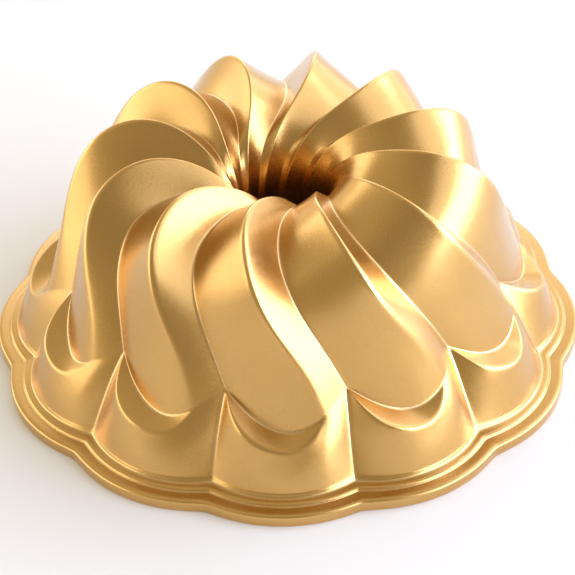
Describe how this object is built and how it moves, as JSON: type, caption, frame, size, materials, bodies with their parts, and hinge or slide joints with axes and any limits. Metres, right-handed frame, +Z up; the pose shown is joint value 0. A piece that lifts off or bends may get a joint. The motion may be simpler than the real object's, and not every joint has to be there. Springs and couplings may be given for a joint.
{
  "type": "bundt pan",
  "caption": "Swirled ring cake pan of cast aluminium with a centre tube, a lobed skirt with ledges and a scalloped rim, mouth down, in satin gold.",
  "frame": {"origin": "on the axis of the tube, at the rim's resting face", "axes": "+Z points up from the rim to the swirled crown with the pan mouth down; +X passes through a notch of the scalloped rim"},
  "size_m": [0.2566, 0.2566, 0.1046],
  "materials": {
    "casting": "satin as-cast metal",
    "gold_coat": "satin metallic gold coat",
    "lining": "satin non-stick coat in a gold tone"
  },
  "bodies": {
    "root": {"cast_body": "casting", "gold_finish": "gold_coat", "nonstick_lining": "lining"}
  },
  "joints": []
}
